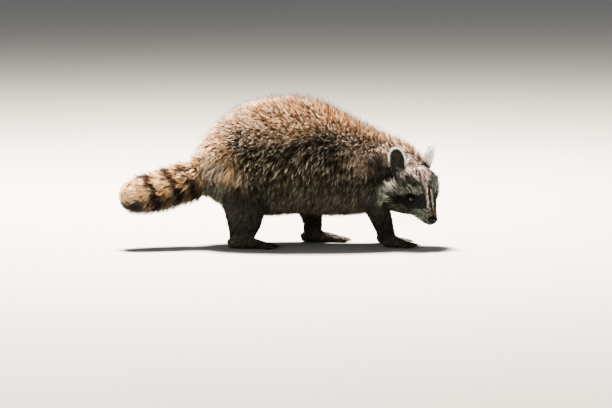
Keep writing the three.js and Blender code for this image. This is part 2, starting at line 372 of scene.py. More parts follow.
TAIL_LINE = line_of((-112, 1, 152), (-145, -4, 139), (-200, -24, 121), (-260, -50, 107),
                    (-290, -64, 102))
SPINE_LINE = line_of((-150, -3, 150), (-52, 3, 157), (85, 0, 156), (198, -4, 146), (252, -30, 134))
LEG_LINES = {"foreleg_right": line_of((160, -46, 158), (182, -54, 104), (205, -42, 48), (216, -38, 0)),
             "foreleg_left": line_of((150, 46, 158), (172, 54, 104), (195, 42, 48), (206, 38, 0)),
             "hindleg_right": line_of((-92, -56, 172), (-70, -65, 84), (-81, -60, 0)),
             "hindleg_left": line_of((-72, 54, 168), (-14, 65, 120), (60, 65, 66), (63, 60, 0))}
FEET = {"forepaw_right": ((216, -38), -0.12), "forepaw_left": ((206, 38), 0.06),
        "hindfoot_right": ((-80, -60), -0.1), "hindfoot_left": ((62, 60), 0.1)}
print("nose pad in the head's frame:", in_head(middle("nose")[None])[0].round(1))
for side_name, side in SIDES.items():
    ear_points = in_ear(in_head(points_of(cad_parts["ear_" + side_name].data)), side)
    print("ear", side_name, "spans", ear_points.min(0).round(), ear_points.max(0).round())

# %% [markdown]
# ## Depth of the coat
# A raccoon's winter coat is deepest on the back, the flanks and the tail, about 2 cm, and thins
# to a few millimetres on the face and to almost nothing on the feet. The solid parts are drawn
# out to the tips of the hairs, so the skin is found by going in by that depth. On the tail, the
# skin is half as thick as the brush.

# %% Skin under the coat
h = in_head(outer)
ahead, aside, above = h[:, 0], np.abs(h[:, 1]), h[:, 2]
eye_far = np.linalg.norm(np.stack([ahead, aside, above], 1) - EYE, axis=1)
nose_far = np.linalg.norm(h - NOSE, axis=1)
muzzle = smoothstep(16, 38, ahead)
cheek = smoothstep(38, 58, aside) * smoothstep(16, -2, ahead)
crown = smoothstep(-22, -58, ahead)
head_depth = (4.5 + 9 * cheek + 6 * crown) * (1 - muzzle) + 1.2 * muzzle
head_depth *= (1 - 0.9 * bell(eye_far, 13)) * smoothstep(6, 22, nose_far) ** 0.5
height = outer[:, 2] / MM
leg_depth = 3.5 + 9 * smoothstep(60, 130, height)
depth = by_part(leg_depth, trunk=18.0, neck=15.0, head=head_depth, ear=0.5, tail=18.0, paw=1.0)
depth = eased(depth, 10, 0.5 - 0.25 * fine)
tail_run, tail_way, tail_out = along_line(outer / MM, TAIL_LINE)
inward = (-outward * depth[:, None] * (1 - of_part["tail"][:, None])
          - 0.5 * tail_out * of_part["tail"][:, None])
inward = eased(inward, 6, 0.5 - 0.4 * fine) * MM
skin = eased(outer + inward, 3, 0.5 - 0.42 * fine)

# %% [markdown]
# The eyes need beds to lie in, and the mouth is a shallow crease that runs back from the nose.
# Points of the skin that lie in an eyeball are pressed to just under its surface.

# %% Sockets, mouth and the cover over the skin
EYE_RADIUS = 8.0
SOCKET_REACH, SOCKET_DEPTH = 0.8, 1.2  # mm round the ball that is pressed, mm under its surface
MOUTH_HALF, MOUTH_DEPTH = 1.3, 1.6  # mm
LOWEST = 0.3 * MM  # the skin's soles over the floor
s = in_head(skin)
for side in SIDES.values():
    away = s - EYE * (1, side, 1)
    far = np.linalg.norm(away, axis=1)
    bed = far < EYE_RADIUS + SOCKET_REACH
    s[bed] = EYE * (1, side, 1) + away[bed] / far[bed, None] * (EYE_RADIUS - SOCKET_DEPTH)


def mouth_at(q):
    """How near points of the head are to the line of the mouth, from 0 to 1."""
    height = -19.5 - 0.10 * (62 - q[:, 0]) + 1.5 * smoothstep(40, 26, q[:, 0])
    return bell(q[:, 2] - height, MOUTH_HALF) * smoothstep(30, 38, q[:, 0]) * smoothstep(72, 66, q[:, 0])


mouth = mouth_at(s) * of_part["head"]
s -= (outward @ HEAD_TURN) * (MOUTH_DEPTH * mouth)[:, None]
skin = from_head(s)
skin_out = unit(eased(point_normals(skin), 2, 0.4))
cover = outer - skin  # from the skin out to the tips of the coat
foot_flat = smoothstep(6, 1.5, skin[:, 2] / MM)
skin[:, 2] = np.maximum(skin[:, 2], LOWEST)
print("coat depth in mm: most", (np.linalg.norm(cover, axis=1).max() / MM).round(1))

# %% [markdown]
# ## Lie of the coat
# Hair grows away from the nose, over the crown and along the neck and the back to the tail. On
# the flanks it turns down, on the legs it runs down to the toes. The direction is said roughly
# for each part, laid into the surface and eased, which gives the smooth partings of a real coat.

# %% Direction field
flow = np.zeros((count, 3))
side_of_body = smoothstep(252, 150, height)
trunk_way = np.stack([-np.ones(count), np.zeros(count), -0.25 - 1.9 * side_of_body], 1)
rump = smoothstep(-60, -150, outer[:, 0] / MM)
trunk_way[:, 2] -= 0.5 * rump
neck_way = np.tile([-0.80, 0.25, 0.1], (count, 1))
neck_way[:, 2] -= 1.6 * smoothstep(215, 120, height)
from_nose = unit(h - np.array([76.0, 0, -16]))
from_nose[:, 0] -= 0.35 * crown
for side in SIDES.values():
    away = h - EYE * (1, side, 1)
    from_nose += unit(away) * (1.4 * bell(np.linalg.norm(away, axis=1), 11))[:, None]
ear_way = np.zeros((count, 3))
for side in SIDES.values():
    e = in_ear(h, side)
    spread = np.stack([np.zeros(count), e[:, 1] / 34, np.full(count, 0.9)], 1)
    mine = (h[:, 1] * side > 0)
    ear_way[mine] = (spread @ ear_frame(side).T)[mine]
flow += trunk_way * of_part["trunk"][:, None] + neck_way * of_part["neck"][:, None]
flow += (from_nose @ HEAD_TURN.T) * of_part["head"][:, None]
flow += (ear_way @ HEAD_TURN.T) * of_part["ear"][:, None]
flow += tail_way * of_part["tail"][:, None]
leg_way = np.array([-0.25, 0, -1.0])
flow += leg_way * (of_part["foreleg"] + of_part["hindleg"])[:, None]
for node, (_, turn) in FEET.items():
    here = eased((node_of == FLESH.index(node)).astype(float), 8)
    flow += np.array([math.cos(turn), math.sin(turn), -0.35]) * here[:, None]
flow = unit(across(flow, skin_out))
flow = unit(across(eased(flow, 12, 0.5 - 0.2 * fine), skin_out))
print("hair runs back on", int((flow[:, 0] < 0).mean() * 100), "percent of the points")

# %% [markdown]
# The length is said as how far a lock runs along the skin; on top of that it rises through the
# depth of the coat. It is short on the muzzle and round the eyes, longer on the cheeks and the
# crown, and longest on the tail.

# %% Length of the hair, in mm
forehead = smoothstep(28, 10, ahead) * smoothstep(8, 22, above) * of_part["head"]
face_length = (10 + 15 * cheek + 9 * crown) * (1 - muzzle) + 4.5 * muzzle
face_length *= (1 - 0.62 * bell(eye_far, 15)) * (0.6 + 0.4 * smoothstep(8, 24, nose_far))
leg_length = 9 + 17 * smoothstep(50, 140, height)
trunk_length = 11 + 8 * smoothstep(240, 110, height)
length = by_part(leg_length, trunk=trunk_length, neck=15.0, head=face_length, ear=6.0, tail=28.0,
                 paw=3.4)
length = eased(length, 5, 0.5 - 0.2 * fine)
print("hair length in mm: from", length.min().round(1), "to", length.max().round(1))

# %% [markdown]
# ## Markings and painted light
# One function says what colour the coat has at a point, and skin and hair both ask it. A raccoon
# is grizzled: each hair is banded, so the coat is a mix of dark, brown and cream locks. `tone` is
# the lot that a lock draws, from -1 for a dark one to +1 for a pale one. The face mask, the brow
# band, the stripes on the muzzle and the tail rings are laid on top. Some of this colour is painted
# light: the cream back, the pale nape and the paler left temple are partly painted sunlight, and
# the green in the greys of the face is painted green bounce light. In these functions all
# places are in mm, and each smoothstep says where a colour starts and where it is full.

# %% Colours of the coat
def shades(text):
    return [np.array(linear(colour)) for colour in text.split()]


# a middle lock, a pale one and a dark one; the cream and pale of BACK and NAPE are partly their own
# colour and partly painted sunlight on the top of the body
BACK = shades("#eccaa6 #fff3e0 #553624")
FLANK = shades("#635644 #ebdecb #13110c")
LOW = shades("#423c2f #8c8a75 #1a1812")
NAPE = shades("#dcbea2 #fff0e0 #6b4d38")
FOREHEAD = shades("#c2aba1 #fff4ee #45322b")
# single colours; the green tint in WHITE, GREY, PALE and BROW is painted green bounce light over their
# own greys
MASK, WHITE, GREY, PALE, OLIVE = shades("#0b0908 #d0d3ca #666e65 #898f85 #3b3a28")
TEMPLE, TEMPLE_DARK, BROW, SNOUT, STRIPE = shades("#4b463b #25211b #6a736b #5f4a3c #2a2019")
LEG, LEG_DARK, FOOT, FOOT_PALE, BELLY = shades("#211d17 #0d0b0a #51483f #8a8073 #6a5a48")
RUMP, RUMP_PALE, SILVER, EAR_IN, EAR_RIM = shades("#dfba92 #f6d8b2 #b9aea0 #292622 #f6f5ef")
RING, TAIL_BROWN, TAIL_TAN, TAIL_PALE = shades("#1a100b #4a2a18 #e2b585 #fff0d2")
EAR_CUP = 9.0  # mm that the front of the ear is hollowed
STRIPE_LEAN = 5.0  # mm that the stripes lean to the left on the forehead
TAIL_RINGS = ((44, 7.0), (74, 8.5), (108, 8.5), (152, 9.5))  # mm from the root, half width
RING_LEAN = 0.16  # how far the rings lean from upright
print("dark, middle and pale of the back:", [c.round(2) for c in (BACK[2], BACK[0], BACK[1])])

# %% [markdown]
# Paint goes on in layers: each has a colour and an amount at every point. Smooth noise makes the
# borders wander. The marks of the head follow short paths, said in its own frame and laid on the
# coat's surface; distances to a path give the marks their soft, even edges.

# %% Paint tools and the paths of the head's marks
def grain(points, size, seed, waves=14):
    """Smooth noise, about -1 to 1, with lumps of the given size in mm."""
    dice = np.random.default_rng(seed)
    k = unit(dice.normal(size=(waves, 3))) * dice.uniform(0.6, 1.4, (waves, 1)) * math.pi / size
    return np.sin(points @ k.T + dice.uniform(0, 2 * math.pi, waves)).sum(1) / math.sqrt(waves)


def mixed(colour, *layers):
    """The colour under layers of paint, each with its own amount at each point."""
    for top, amount in layers:
        amount = np.clip(amount, 0, 1)[:, None]
        colour = colour * (1 - amount) + top * amount
    return colour


def laid(path):
    """The same path on the coat's surface, seen on the left half of the head."""
    spots = in_head(outer[nearest(outer_tree, from_head(path))])
    return spots * (1, 0, 1) + np.abs(spots) * (0, 1, 0)


outer_tree = tree_of(outer)
MASK_PATH = laid([(43, 14, 11), (36, 22, 7), (25, 30, -2), (15.5, 38, -8), (9, 47, -11)])
MASK_CORNER_PATH = laid([(36, 12, 18), (31, 17, 17)])
BROW_PATH = laid([(25, 19, 23), (18, 26, 21), (13, 33, 16), (7, 40, 11.5), (2, 48, 6), (-3, 56, 2)])
CHEEK_PATH = laid([(-18, 60, 11), (-20, 69, -4), (-14, 70, -20)])
TEMPLE_PATH = laid([(7, 26, 28), (-3, 36, 23.5), (-9, 46, 19), (-7, 53, 13)])
EAR_TUFT_PATH = laid([(-19, 58, 15), (-15, 62, 8)])
EAR_ROOT_PATH = laid([(-30, 49, 13), (-24, 48, 19)])
PATCH_PATH = laid([(10.5, 12.5, 32.5), (19, 12, 30), (27, 11.5, 25.5)])
OLIVE_PATH = laid([(-2, 66, -27), (10, 48, -30), (24, 30, -26)])


def far_from(points, path):
    """Distance from each point to a path of straight pieces."""
    return np.linalg.norm(along_line(points, np.array(path, float))[2], axis=1)


def toned(three, tone, strength=1.0):
    base, pale, dark = three
    return mixed(np.tile(base, (len(tone), 1)), (pale, smoothstep(0.05, 0.75, tone) * strength),
                 (dark, smoothstep(-0.05, -0.7, tone) * strength))


print("the brow band runs from", BROW_PATH[0].round(), "to", BROW_PATH[-1].round())

# %% [markdown]
# On the body the layers are the grizzled flank, the dark low side, the cream back, the tan rump
# with its dark hip streak, the first tail ring, the nape, the dark collar and shoulder, the
# thighs and the belly. The cream back and the pale nape are partly painted sunlight on the top
# of the body.

# %% Body and tail
def body_colour(p, tone):
    x, y, z = p.T
    from_side = p * (1, 0, 1)
    wander = 9 * grain(p, 60, 3) + 5 * grain(p, 22, 4)
    is_back = smoothstep(186, 240, z + wander - 0.12 * np.abs(x - 20))
    is_rear = (smoothstep(-64, -118, x + 0.35 * (z - 170) + 1.4 * wander)
               * smoothstep(112, 156, z + wander))
    hip = bell(far_from(from_side, [(-60, 0, 240), (-92, 0, 196), (-112, 0, 160)]), 13)
    tuft = bell(far_from(from_side, [(-138, 0, 148), (-118, 0, 158)]), 15)
    run, _, out = along_line(p, TAIL_LINE)
    first_ring = (smoothstep(11, 4, np.abs(run - RING_LEAN * out[:, 2] - TAIL_RINGS[0][0]))
                  * smoothstep(52, 34, z - 0.6 * x - 200)
                  * smoothstep(50, 36, np.linalg.norm(out, axis=1)))
    is_nape = smoothstep(112, 168, x + wander) * smoothstep(126, 172, z + 0.5 * wander)
    collar = np.minimum(far_from(p, [(196, -75, 165), (205, -85, 120), (195, -60, 90)]),
                        far_from(p, [(215, 40, 165), (222, 42, 120), (215, 30, 90)]))
    shoulder = bell(far_from(from_side, [(102, 0, 158), (128, 0, 105)]), 34)
    thigh = smoothstep(125, 92, z + 0.5 * wander) * smoothstep(-125, -105, x) * smoothstep(-5, -35, x)
    return mixed(
        toned(FLANK, tone - 0.08),
        (LOW[0], smoothstep(150, 105, z + wander)),
        (toned(LOW, tone), smoothstep(150, 100, z + wander)),
        # painted sunlight in part: the top of the body is laid over with the pale cream of the back
        (toned(BACK, tone + 0.12, 0.85), is_back),
        (toned((RUMP, RUMP_PALE, BACK[2]), tone + 0.15, 0.7), is_rear),
        (BACK[2], 0.45 * hip * smoothstep(40, 75, np.abs(y)) * smoothstep(0.5, -0.3, tone)),
        (toned((SILVER, WHITE, FLANK[0]), tone), 0.8 * tuft * smoothstep(15, 40, np.abs(y))),
        (RING, 0.9 * first_ring),
        # painted sunlight in part: the nape is pushed paler than the tone its locks draw
        (toned(NAPE, tone + 0.35, 0.8), 0.85 * is_nape),
        (FLANK[2], 0.7 * bell(collar, 26)),
        (FLANK[2], 0.4 * shoulder * smoothstep(20, 50, np.abs(y))),
        (LEG_DARK, 0.8 * thigh * smoothstep(0.9, 0.2, tone)),
        (BELLY, 0.6 * smoothstep(86, 66, z) * smoothstep(60, 30, np.abs(y))))


def tail_colour(p, tone):
    run, _, out = along_line(p, TAIL_LINE)
    run = run - RING_LEAN * out[:, 2] + 3.2 * grain(p, 11, 8) + 3 * tone
    lower = smoothstep(12, -14, out[:, 2])
    ring = smoothstep(172, 184, run) * smoothstep(-4, -18, out[:, 2])
    for place, half in TAIL_RINGS:
        ring = np.maximum(ring, smoothstep(4, -4, np.abs(run - place) - half * (0.75 + 0.25 * lower)))
    return mixed(toned((TAIL_TAN, TAIL_PALE, BACK[2]), tone + 0.3, 0.8),
                 (TAIL_BROWN * (1 - lower[:, None]) + RING * lower[:, None], ring),
                 (RING, 0.75 * smoothstep(-2, -20, out[:, 2])))


# %% [markdown]
# On the head `w` is the point seen on the left half, and `a` its distance from the stripe down
# the middle. The layers go from the crown and the cheeks to the black mask, the pale brow band,
# the stripes of the snout, the muzzle's sides, the chin and the line of the mouth. The left
# temple is painted paler than the right one: painted sunlight on that side.

# %% Head
def head_colour(q, tone):
    x, z = q[:, 0], q[:, 2]
    w = np.stack([x, np.abs(q[:, 1]), z], 1)
    a = np.abs(q[:, 1] - STRIPE_LEAN * smoothstep(38, 12, x) * smoothstep(-5, 8, z))
    from_eye = np.linalg.norm(w - EYE, axis=1)
    temple = far_from(w, TEMPLE_PATH) + 3 * grain(w, 6, 15) + 3 * tone
    # painted sunlight: the temple on the left side is painted paler than on the right
    grey_temple = mixed(toned((TEMPLE, GREY, TEMPLE_DARK), tone),
                        (PALE, 0.45 * smoothstep(8, 24, q[:, 1])))  # paler on the left
    is_low = np.maximum(smoothstep(22, 12, far_from(w, OLIVE_PATH)),
                        smoothstep(-20, -34, z) * smoothstep(40, 20, x))
    cheek_far = far_from(w, CHEEK_PATH) + 1.5 * grain(w, 8, 16)
    behind_ear = smoothstep(-28, -44, x) * smoothstep(22, 6, z) * smoothstep(30, 50, w[:, 1])
    mask_half = 13.2 - 4.5 * smoothstep(24, 52, along_line(w, MASK_PATH)[0]) + 1.2 * grain(w, 9, 12)
    mask = np.maximum(smoothstep(mask_half + 2, mask_half - 2, far_from(w, MASK_PATH)),
                      smoothstep(8, 5.5, far_from(w, MASK_CORNER_PATH))) * smoothstep(7.4, 9.4, a)
    brow_half = 5.6 + 0.03 * along_line(w, BROW_PATH)[0] + 0.6 * grain(w, 8, 13)
    is_brow = smoothstep(brow_half + 1.8, brow_half - 1.2, far_from(w, BROW_PATH))
    on_snout = smoothstep(6, 16, x) * smoothstep(-16, -8, z)
    pale_line = bell(a - 4.6 - 0.17 * np.clip(49 - x, 0, 40), 1.9) * on_snout * smoothstep(62, 52, x)
    bridge = smoothstep(52, 60, x) * smoothstep(-10, -5, z) * smoothstep(9, 6, a)
    muzzle_side = (smoothstep(30, 36, x) * smoothstep(1.5, -1.5, z + 13 - 0.85 * (x - 34))
                   * smoothstep(5, 8, a))
    return mixed(
        toned((OLIVE, PALE, MASK), tone - 0.1, 0.7),
        (toned(FOREHEAD, tone + 0.12), smoothstep(6, 20, z + 0.25 * (x - 10))),
        (TEMPLE, smoothstep(29, 21, from_eye)),
        (grey_temple, smoothstep(19, 7, temple)),
        (toned((OLIVE, PALE, MASK), tone - 0.15, 0.7), is_low),
        (MASK, 0.6 * smoothstep(-38, -52, z)),
        (toned((PALE, WHITE, OLIVE), tone - 0.2), smoothstep(18, 11, cheek_far)),
        (FLANK[2], 0.9 * behind_ear),
        (MASK, 0.75 * smoothstep(8, 3, far_from(w, EAR_ROOT_PATH))),
        (FOREHEAD[1], 0.8 * bell(far_from(w, EAR_TUFT_PATH), 6)),
        (MASK, mask),
        (MASK, smoothstep(15, 12, from_eye)),
        (toned((BROW, PALE, TEMPLE), tone + 0.1), is_brow),
        (STRIPE, 0.9 * smoothstep(5.6, 3.0, far_from(w, PATCH_PATH))),
        (PALE, 0.95 * pale_line),
        (STRIPE, smoothstep(4.0, 2.6, a) * on_snout),
        (SNOUT, 0.8 * bridge),
        (toned((GREY, PALE, TEMPLE), tone - 0.25, 0.8), muzzle_side),
        (PALE, 0.6 * smoothstep(34, 44, x) * smoothstep(-18, -24, z)),
        (GREY, 0.8 * smoothstep(26, 40, x) * smoothstep(-22, -27, z)),
        (MASK, 0.9 * mouth_at(q)))


# %% [markdown]
# An ear is dark inside, with a white rim and a white back. Last, one function gives each point
# the colours of the parts that share it, so that no border shows between two parts.

# %% Ears, and all parts together
def ear_colour(q, tone):
    e = np.where((q[:, 1] > 0)[:, None], in_ear(q, 1), in_ear(q, -1))
    edge = np.sqrt((e[:, 1] / EAR_HALF[0]) ** 2 + (e[:, 2] / EAR_HALF[1]) ** 2)
    shell = EAR_CUP * (np.minimum(edge, 1) ** 2 - 1)  # middle of the hollowed ear's wall
    behind = smoothstep(0.8, -0.8, e[:, 0] - shell)
    return mixed(toned((EAR_IN, TEMPLE, MASK), tone, 0.6),
                 (EAR_RIM, 0.9 * behind * smoothstep(-18, -2, e[:, 2])),
                 (EAR_RIM, smoothstep(0.76, 0.84, edge) * smoothstep(-14, 2, e[:, 2])))


def markings_and_painted_light(points, shares, tone):
    p, q = points / MM - MIDDLE_SHIFT, in_head(points)
    low = p[:, 2]
    wander = 10 * grain(p, 26, 24)
    body, leg = body_colour(p, tone), toned((LEG, LOW[0], LEG_DARK), tone, 0.7)
    foot = toned((FOOT, FOOT_PALE, LEG), tone - 0.1 + 0.3 * grain(p, 30, 21), 0.7)
    is_crown = (smoothstep(-86, -54, q[:, 0]) * smoothstep(6, 24, q[:, 2])
                * smoothstep(56, 38, np.abs(q[:, 1])))
    coats = {"trunk": body, "neck": mixed(body, (toned(FOREHEAD, tone + 0.12), is_crown)),
             "head": head_colour(q, tone), "ear": ear_colour(q, tone), "tail": tail_colour(p, tone),
             "foreleg": mixed(body, (leg, smoothstep(112, 72, low + wander))),
             "hindleg": mixed(body, (leg, smoothstep(128, 90, low + wander))),
             "paw": mixed(leg, (foot, smoothstep(34, 16, low)))}
    total = sum(coats[name] * shares[:, i:i + 1] for i, name in enumerate(PARTS))
    return total / np.maximum(shares.sum(1, keepdims=True), 1e-6)


skin_tone = 0.45 * grain(outer / MM, 7, 31)
skin_colour = markings_and_painted_light(outer, share, skin_tone)
print("colours laid on the skin, mean", skin_colour.mean(0).round(3))

# %% [markdown]
# The hide between the hairs is short woolly underfur over skin, which swallows light, so it is
# rough and darker than the coat above it. A fine bump stands for the roots. The small functions
# here serve every later material too: a texture laid in the object's own space, a bump, a colour
# between two colours, and the shader at the end.

# %% The hide
def new_material(name):
    material = bpy.data.materials.new(name)
    material.use_nodes = True
    material.node_tree.nodes.clear()
    return material, material.node_tree


def texture(tree, kind, settings):
    place = add_node(tree, "TexCoord", {})
    return add_node(tree, kind, {**settings, "Vector": place.outputs["Object"]}).outputs[0]


def bump(tree, height, settings):
    return add_node(tree, "Bump", {**settings, "Height": height}).outputs[0]


def scaled(tree, colour, gain):
    return add_node(tree, "VectorMath", {"operation": "SCALE", 0: colour, "Scale": gain}).outputs[0]


def between(tree, share, first, second):
    mix = add_node(tree, "Mix", {"data_type": "RGBA", 0: share, 6: first, 7: second})
    return mix.outputs[2]


def flat_colour(hex_colour):
    return (*linear(hex_colour), 1)


def finish_material(tree, settings):
    shader = add_node(tree, "BsdfPrincipled", settings)
    add_node(tree, "OutputMaterial", {"Surface": shader.outputs[0]})


hide, tree = new_material("underfur_over_hide")
pelt = add_node(tree, "Attribute", {"attribute_name": "pelt"})
wool = texture(tree, "TexNoise", {"Scale": 420.0, "Detail": 4.0})
shade = add_node(tree, "MapRange", {"Value": wool, "To Min": 0.55, "To Max": 1.05})
finish_material(tree, {
    "Base Color": scaled(tree, pelt.outputs["Color"], shade.outputs[0]), "Roughness": 0.85, "IOR": 1.5,
    "Normal": bump(tree, wool, {"Strength": 0.5, "Distance": 0.0006})})

HIDE_SHADE = 0.8  # how bright the hide is beside the coat
skin_object = mesh_object("skin", skin, [tris])
paint(skin_object, skin_colour * HIDE_SHADE)
skin_object.data.materials.append(hide)
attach(skin_object, "root")
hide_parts(*FLESH)

# %% [markdown]
# ## Guides for the locks
# A long hair does not stand straight off the skin: it leaves it and then lies along the body.
# From each point of the skin a guide is walked along the lie of the coat in three steps. At each
# step it is known how deep the coat is there, so a lock rises from the skin at its root to the
# coat's outside at its tip, round every bend of the body.

# %% Walk the guides
ROWS = (0.0, 0.36, 0.70, 1.0)
skin_tree = tree_of(skin)
guide_skin, guide_cover = [skin], [cover]
walk, at = skin, np.arange(count)
for lower_row, upper_row in zip(ROWS[:-1], ROWS[1:]):
    walk = walk + flow[at] * (length * (upper_row - lower_row) * MM)[:, None]
    at = nearest(skin_tree, walk)
    lift = np.sum((walk - skin[at]) * skin_out[at], 1, keepdims=True)
    walk = walk - skin_out[at] * lift
    guide_skin.append(walk)
    guide_cover.append(cover[at])
guide_skin, guide_cover = np.stack(guide_skin, 1), np.stack(guide_cover, 1)
print("guides:", guide_skin.shape[0], "with", guide_skin.shape[1], "points each")

# %% [markdown]
# ## Locks
# A lock is a handful of thin flat blades, each a few hairs wide, that start side by side and lean
# together at the tip. Blades are one mesh for each part of the coat, made from arrays, since
# hair curves are lost when the model is exported. The density is higher and the blades are finer
# where the coat is short.

# %% Scatter the roots of the locks
DENSITY, BLADES, WIDTH, RADIUS = range(4)  # locks in a cm2, blades in a lock, mm, mm
GROWTH = {"trunk": (15.0, 5, 0.85, 1.8), "neck": (15.0, 5, 0.85, 1.8), "tail": (15.0, 5, 0.9, 2.0),
          "head": (30.0, 5, 0.56, 1.2), "ear": (38.0, 4, 0.42, 1.0),
          "foreleg": (15.0, 5, 0.9, 1.9), "hindleg": (14.0, 5, 0.95, 2.0), "paw": (24.0, 4, 0.5, 1.1)}
PAD_EDGE = (8.5, 10.5, 8)  # mm, half the bare nose pad along each direction
growth = np.array([GROWTH[name] for name in PARTS])
bare = smoothstep(8.2, 9.2, eye_far)  # no hair on the eye or under the nose pad and the soles
bare *= smoothstep(0.9, 1.15, np.sqrt((((h - NOSE) / PAD_EDGE) ** 2).sum(1)))
bare *= 1 - foot_flat * smoothstep(-0.3, -0.7, skin_out[:, 2])
bare *= 1 - 0.9 * smoothstep(0.3, 0.7, mouth)
local = share @ growth
local *= 1 + forehead[:, None] * (-0.35, 0, 0.45, 0.5)  # fewer, bigger locks
corner = skin[tris]
area = np.linalg.norm(np.cross(corner[:, 1] - corner[:, 0], corner[:, 2] - corner[:, 0]), axis=1) / 2
wanted = area * 1e4 * (local[:, DENSITY] * bare)[tris].mean(1)
lock_count = int(wanted.sum())
pick = np.sort(rng.choice(len(tris), lock_count, p=wanted / wanted.sum()))
weights = rng.dirichlet((1, 1, 1), lock_count)


def at_roots(values):
    return np.einsum("nk,nk...->n...", weights, values[tris[pick]])


root_skin, root_cover = at_roots(guide_skin), at_roots(guide_cover)
root_share, root_local = at_roots(share), at_roots(local)
root_part = np.argmax(root_share, 1)
root_length, root_forehead = at_roots(length), at_roots(forehead)
root_out = unit(at_roots(skin_out))
print("locks:", lock_count, {name: int((root_part == i).sum()) for i, name in enumerate(PARTS)})

# %% [markdown]
# Where a lock shows is beyond the middle of its length, and there the coat's colour, its markings
# with their painted light, is asked for. Each lock also draws its tone: partly by itself and partly
# with its neighbours, so that the grizzle comes in small patches as in a coat that has been lain on.

# %% Colour of each lock
OWN_TONE, BODY_TONE, HEAD_TONE = 0.46, 0.46, 0.5  # shares by itself, and with its neighbours
BODY_PATCH, HEAD_PATCH = 4.5, 3.0  # mm, size of the small patches
seen = root_skin[:, 1] * 0.4 + root_skin[:, 2] * 0.6 + root_cover[:, 2]
of_head = root_share[:, PARTS.index("head")]
lock_tone = (OWN_TONE * rng.normal(size=lock_count)
             + BODY_TONE * (1 - of_head) * grain(seen / MM, BODY_PATCH, 41)
             + HEAD_TONE * of_head * grain(seen / MM, HEAD_PATCH, 42))
lock_colour = markings_and_painted_light(seen, root_share, np.clip(lock_tone, -1, 1))
lock_colour *= np.exp(0.14 * rng.normal(size=(lock_count, 1)))
of_body = root_share[:, :2].sum(1)
dark_tip = np.clip(rng.random(lock_count) * 1.5 - 0.55, 0, 1) * (0.25 + 0.6 * of_body)
print("dark locks:", int((lock_tone < -0.4).sum()), "pale locks:", int((lock_tone > 0.4).sum()))

# %% [markdown]
# Each piece of coat gets a map named OFBake: a flat unwrap of the skin, where a lock is a tiny
# patch at its root's place. On the trunk, the neck and the tail the unwrap is the angle round the
# middle line against the distance along it, and on the head the angle round the line of the nose.
# Each leg or foot has a field of its own, and so has each side of each ear.

# %% Unwrap of the skin
def angle_round(points, line):
    run, way, out = along_line(points / MM, line)
    side_way = unit(np.cross(way, np.array([0.0, 0.0, 1.0]) + 1e-6 * way))
    up_way = np.cross(side_way, way)
    return np.arctan2(np.sum(out * side_way, 1), np.sum(out * up_way, 1)), run


root_place = root_skin[:, 0]
root_head = in_head(root_place)
field = np.zeros(lock_count, int)
flat_u, flat_v = angle_round(root_place, SPINE_LINE)
in_tail = among(root_part, "tail")
tail_u, tail_v = angle_round(root_place, TAIL_LINE)
flat_u[in_tail], flat_v[in_tail] = tail_u[in_tail], tail_v[in_tail]
in_face = among(root_part, "head")
flat_u[in_face] = np.arctan2(root_head[in_face, 1], root_head[in_face, 2] + 12)
flat_v[in_face] = root_head[in_face, 0] - 0.35 * np.hypot(root_head[in_face, 1], root_head[in_face, 2])
limb, paw = among(root_part, "foreleg", "hindleg"), among(root_part, "paw")
nearer = np.argmin([np.linalg.norm(along_line(root_place / MM, line)[2], axis=1)
                    for line in LEG_LINES.values()], 0)
field[limb | paw] = nearer[limb | paw]
for i, (node, line) in enumerate(LEG_LINES.items()):
    mine = limb & (nearer == i)
    flat_u[mine], flat_v[mine] = (values[mine] for values in angle_round(root_place, line))
    (foot_x, foot_y), turn = FEET[node.replace("foreleg", "forepaw").replace("hindleg", "hindfoot")]
    mine = paw & (nearer == i)
    d = root_place[mine] / MM - (foot_x, foot_y, 0)
    flat_v[mine] = d[:, 0] * math.cos(turn) + d[:, 1] * math.sin(turn)
    flat_u[mine] = np.arctan2(d[:, 1] * math.cos(turn) - d[:, 0] * math.sin(turn), d[:, 2] - 8)
for i, side in enumerate(SIDES.values()):
    e = in_ear(root_head, side)
    mine = among(root_part, "ear") & (root_head[:, 1] * side > 0)
    flat_u[mine], flat_v[mine] = e[mine, 1], e[mine, 2]
    front = np.sum(root_out @ HEAD_TURN * ear_frame(side)[:, 0], 1) > 0
    field[mine] = 2 * i + front[mine]
print("locks in each field of the unwrap:", np.bincount(field))

# %% [markdown]
# Hair is keratin, clear like horn, with its pigment inside: a soft gloss over a matt colour. The
# roots lie in the shade of the coat, and many guard hairs end in a black point, which gives the
# smoky edge along the back. Both are ramps along the blade.

# %% Guard-hair keratin
def hair_material(name, root_shade, tip_colour, roughness):
    material, tree = new_material(name)
    pelt = add_node(tree, "Attribute", {"attribute_name": "pelt"})
    strand = add_node(tree, "Attribute", {"attribute_name": "strand"})
    split = add_node(tree, "SeparateColor", {"Color": strand.outputs["Color"]})
    run, dark = split.outputs["Red"], split.outputs["Green"]
    streak = texture(tree, "TexNoise", {"Scale": 300.0, "Detail": 2.0})
    lit = add_node(tree, "MapRange", {"Value": run, "From Max": 0.62,
                                      "To Min": root_shade, "To Max": 1.12})
    fleck = add_node(tree, "MapRange", {"Value": streak, "From Min": 0.3, "From Max": 0.7,
                                        "To Min": 0.8, "To Max": 1.2})
    gain = add_node(tree, "Math", {"operation": "MULTIPLY", 0: lit.outputs[0], 1: fleck.outputs[0]})
    point = add_node(tree, "MapRange", {"Value": run, "From Min": 0.62, "From Max": 0.92})
    black = add_node(tree, "Math", {"operation": "MULTIPLY", 0: point.outputs[0], 1: dark})
    shaded = scaled(tree, pelt.outputs["Color"], gain.outputs[0])
    finish_material(tree, {
        "Base Color": between(tree, black.outputs[0], shaded, flat_colour(tip_colour)),
        "Roughness": roughness, "IOR": 1.55, "Sheen Weight": 0.15, "Sheen Roughness": 0.5})
    return material


